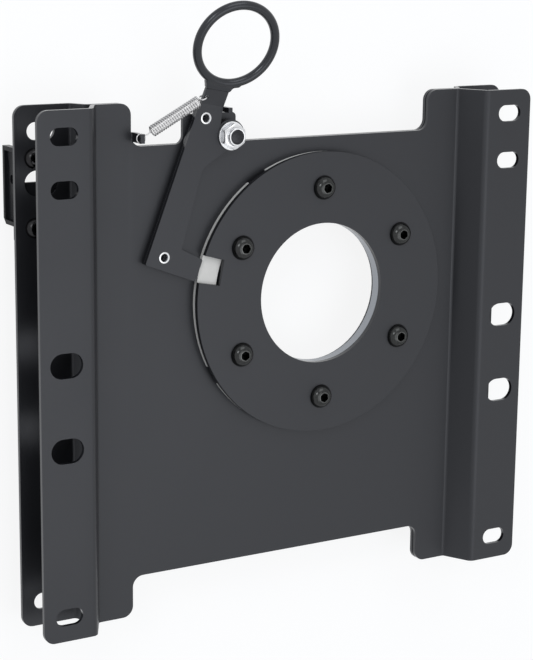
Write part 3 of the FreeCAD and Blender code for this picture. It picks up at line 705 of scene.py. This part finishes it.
stud_low, stud_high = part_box("pivot_stud")
stud_axis = (stud_low + stud_high) / 2
stud_radius = (stud_high.x - stud_low.x) / 2
stud_edge = 0.0004
stud_flat = 0.0002
stud_crown = 0.0009
stud_rings = [circle(stud_radius - stud_edge, stud_low.z), circle(stud_radius, stud_low.z + stud_edge)]
stud_rings += dome(stud_radius, stud_flat, stud_high.z - stud_crown, stud_high.z, steps=8)
stud_steel = steel_dark("stud_steel", low=(0.020, 0.021, 0.023), high=(0.046, 0.047, 0.051),
                        roughness=0.26)
stud = standing(turned("pivot_stud_turned", stud_rings), stud_axis)
dress(placed("pivot_stud_finished", stud), stud_steel, "upper_body", "pivot_stud")

pivot_washer_edge = 0.0003
dress(rounded("pivot_washer", pivot_washer_edge), zinc, "upper_body", "pivot_washer")

pivot_nut_low, pivot_nut_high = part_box("pivot_nut")
pivot_across = pivot_nut_high.x - pivot_nut_low.x
pivot_face_share = 0.93
pivot_face = pivot_face_share * pivot_across / 2
pivot_play = 0.00001
pivot_bore = stud_radius + pivot_play
hexagon_height = 0.0048
pivot_shoulder = pivot_nut_low.z + hexagon_height
collar_radius = 0.0063
collar_rim = 0.0006
collar_foot = 0.0003
collar_foot_low = 0.0001
collar_foot_high = 0.0005
collar_mouth = 0.0002
collar_mouth_depth = 0.0001
collar_top = pivot_nut_high.z
pivot_rings = [circle(pivot_bore, pivot_nut_low.z + nut_mouth),
               circle(pivot_bore + nut_mouth, pivot_nut_low.z),
               circle(pivot_face, pivot_nut_low.z),
               hexagon(pivot_across, pivot_nut_low.z, pivot_face, -chamfer_slope),
               hexagon(pivot_across, pivot_shoulder, pivot_face),
               circle(pivot_face, pivot_shoulder),
               circle(collar_radius + collar_foot, pivot_shoulder + collar_foot_low),
               circle(collar_radius, pivot_shoulder + collar_foot_high)]
pivot_rings += dome(collar_radius, collar_radius - collar_rim, collar_top - collar_rim, collar_top,
                    steps=5)
pivot_rings += [circle(pivot_bore + collar_mouth, collar_top - collar_mouth_depth),
                circle(pivot_bore, collar_top - nut_mouth)]
pivot_nut = standing(turned("pivot_nut_turned", pivot_rings, closed=True), stud_axis)
dress(placed("pivot_nut_finished", pivot_nut), zinc, "upper_body", "pivot_nut")


# Pull ring: black plastic moulded over the end of the neck, smooth, with a fine grain in its gloss. Its
# collar flares towards the ring and runs into it with a fillet.
ring_plastic = Finish("ring_plastic", {"Specular Tint": (0.88, 0.92, 1.0, 1)})
grain = ring_plastic.noise(scale=1500.0, detail=3.0)
cloud = ring_plastic.noise(scale=60.0, detail=2.0)
ring_tone = ring_plastic.blend(cloud * 0.5 + grain * 0.5, low=(0.008, 0.0084, 0.010),
                               high=(0.017, 0.018, 0.021))
ring_black = ring_plastic.shade(Base_Color=ring_tone, Roughness=0.16 + grain * 0.12,
                                Normal=ring_plastic.bump(grain, distance=0.00004, strength=0.4))

ring_centre = Vector((-0.0532, 0.2211, 0.0408))
ring_radius = 0.02865
ring_section = 0.0063
neck_facing = Vector((-0.0647, -0.3558, 0.9323))
neck_along = Vector((0.1669, 0.9174, 0.3616))
neck_across = neck_along.cross(neck_facing)
collar_half = 0.0095
collar_flare = 0.0030
collar_fade = 0.004
collar_reach = 0.0085
flare_above = 0.0035
flare_rise = 0.0025
joint_half = 0.0045
joint_passes = 14
grip_voxel = 0.00042


def evened(shell, vertices):
    """One pass of smoothing over some of a mesh."""
    bmesh.ops.smooth_vert(shell, verts=vertices, factor=0.5, use_axis_x=True, use_axis_y=True,
                          use_axis_z=True)


def moulded_grip():
    """The ring and its collar as one moulding, with the collar's flare and the fillet at the joint."""
    shell = bmesh.new()
    shell.from_mesh(solids["ring_grip"].data)
    bmesh.ops.remove_doubles(shell, verts=shell.verts, dist=weld_within)
    mesh = bpy.data.meshes.new("ring_grip")
    shell.to_mesh(mesh)
    shell.free()
    mesh.materials.clear()
    piece = placed("ring_grip_finished", mesh)
    remesh = piece.modifiers.new("skin", "REMESH")
    remesh.mode = "VOXEL"
    remesh.voxel_size = grip_voxel
    settled(piece)
    shell = bmesh.new()
    shell.from_mesh(piece.data)
    joint = []
    for vertex in shell.verts:
        offset = vertex.co - ring_centre
        across = offset.dot(neck_across)
        if offset.dot(neck_along) > 0 or abs(across) > collar_half + collar_fade:
            continue
        below = -offset.dot(neck_along) - math.sqrt((ring_radius + ring_section / 2) ** 2 - across ** 2)
        if -flare_above < below < collar_reach:
            fall = 1 - max(0.0, below) / collar_reach
            rise = min(1.0, (below + flare_above) / flare_rise)
            fade = min(1.0, (collar_half + collar_fade - abs(across)) / collar_fade)
            flare = collar_flare * fall * fall * rise * fade * across / collar_half
            vertex.co += neck_across * flare
        if -joint_half < below < joint_half:
            joint.append(vertex)
    for _ in range(joint_passes):
        evened(shell, joint)
    evened(shell, shell.verts)
    shell.to_mesh(piece.data)
    shell.free()
    piece.data.shade_smooth()
    return piece


dress(moulded_grip(), ring_black, "lock_lever", "ring_grip")


# Tension spring: one length of bright drawn wire, wound to a close coil between a hook round the finger
# and an eye through the neck's hole.
spring_wire = 0.0011
wire_sides = 10
coil_across = 0.0082
coil_turns = 22
turn_steps = 28
hook_radius = 0.0031
hook_length = 0.0094
eye_radius = 0.0027
eye_length = 0.0075
end_sweep = math.radians(305)
end_steps = 30
lead_length = 0.0012
hook_at = Vector((-0.1195, 0.1596, 0.0288))
neck_hole = Vector((-0.0682, 0.18585, 0.0263))


def wire_arc(centre, start, towards):
    """Points of an arc of wire from a start towards a side."""
    first = start - centre
    aside = towards - first * (towards.dot(first) / first.length_squared)
    second = aside.normalized() * first.length
    turns = [end_sweep * k / end_steps for k in range(end_steps + 1)]
    return [centre + first * math.cos(turn) + second * math.sin(turn) for turn in turns]


def drawn_wire():
    """Round wire along a line of edges."""
    nodes, given = layout("drawn_wire", {"Wire Radius": "Float", "Sides": "Int", "Finish": "Material"})
    line = nodes.node("GeometryNodeMeshToCurve", None, {0: given["Geometry"]})
    section = nodes.node("GeometryNodeCurvePrimitiveCircle", None,
                         {"Resolution": given["Sides"], "Radius": given["Wire Radius"]})
    tube = nodes.node("GeometryNodeCurveToMesh", None,
                      {"Curve": line, "Profile Curve": section, "Fill Caps": True})
    return closing(nodes, tube, given["Finish"])


upright = Vector((0, 0, 1))
pull = (neck_hole - hook_at).normalized()
coil_start = hook_at + pull * hook_length
coil_end = neck_hole - pull * eye_length
coil_length = (coil_end - coil_start).length
coil_radius = (coil_across - spring_wire) / 2
sideways = upright.cross(pull).normalized()
upwards = pull.cross(sideways)
level_pull = Vector((pull.x, pull.y, 0)).normalized()
neck_pull = (pull - neck_facing * pull.dot(neck_facing)).normalized()
hook = wire_arc(hook_at, hook_at + level_pull * hook_radius, level_pull.cross(upright))
eye_centre = neck_hole - neck_pull * eye_radius
eye = wire_arc(eye_centre, eye_centre - neck_pull * eye_radius, neck_facing)
coil = []
for k in range(coil_turns * turn_steps + 1):
    angle = 2 * math.pi * k / turn_steps
    along = coil_length * k / (coil_turns * turn_steps)
    round_coil = (sideways * math.cos(angle) + upwards * math.sin(angle)) * coil_radius
    coil.append(coil_start + pull * along + round_coil)
leads = [coil_start - pull * lead_length, coil_end + pull * lead_length]
route = hook[::-1] + [leads[0]] + coil + [leads[1]] + eye
spring_line = bpy.data.meshes.new("spring_line")
spring_line.from_pydata(route, [(k, k + 1) for k in range(len(route) - 1)], [])
wire = Finish("spring_wire", {"Metallic": 1.0})
drawn = wire.noise(scale=900.0, detail=2.0)
wire_tone = wire.blend(drawn, low=(0.40, 0.40, 0.41), high=(0.62, 0.62, 0.63))
wire_steel = wire.shade(Base_Color=wire_tone, Roughness=0.22 + drawn * 0.12)
spring = laid_out("tension_spring_finished", spring_line, drawn_wire(),
                  {"Wire Radius": spring_wire / 2, "Sides": wire_sides, "Finish": wire_steel})
coat(spring, wire_steel)
spring.data.shade_smooth()
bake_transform(spring)
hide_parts("tension_spring")
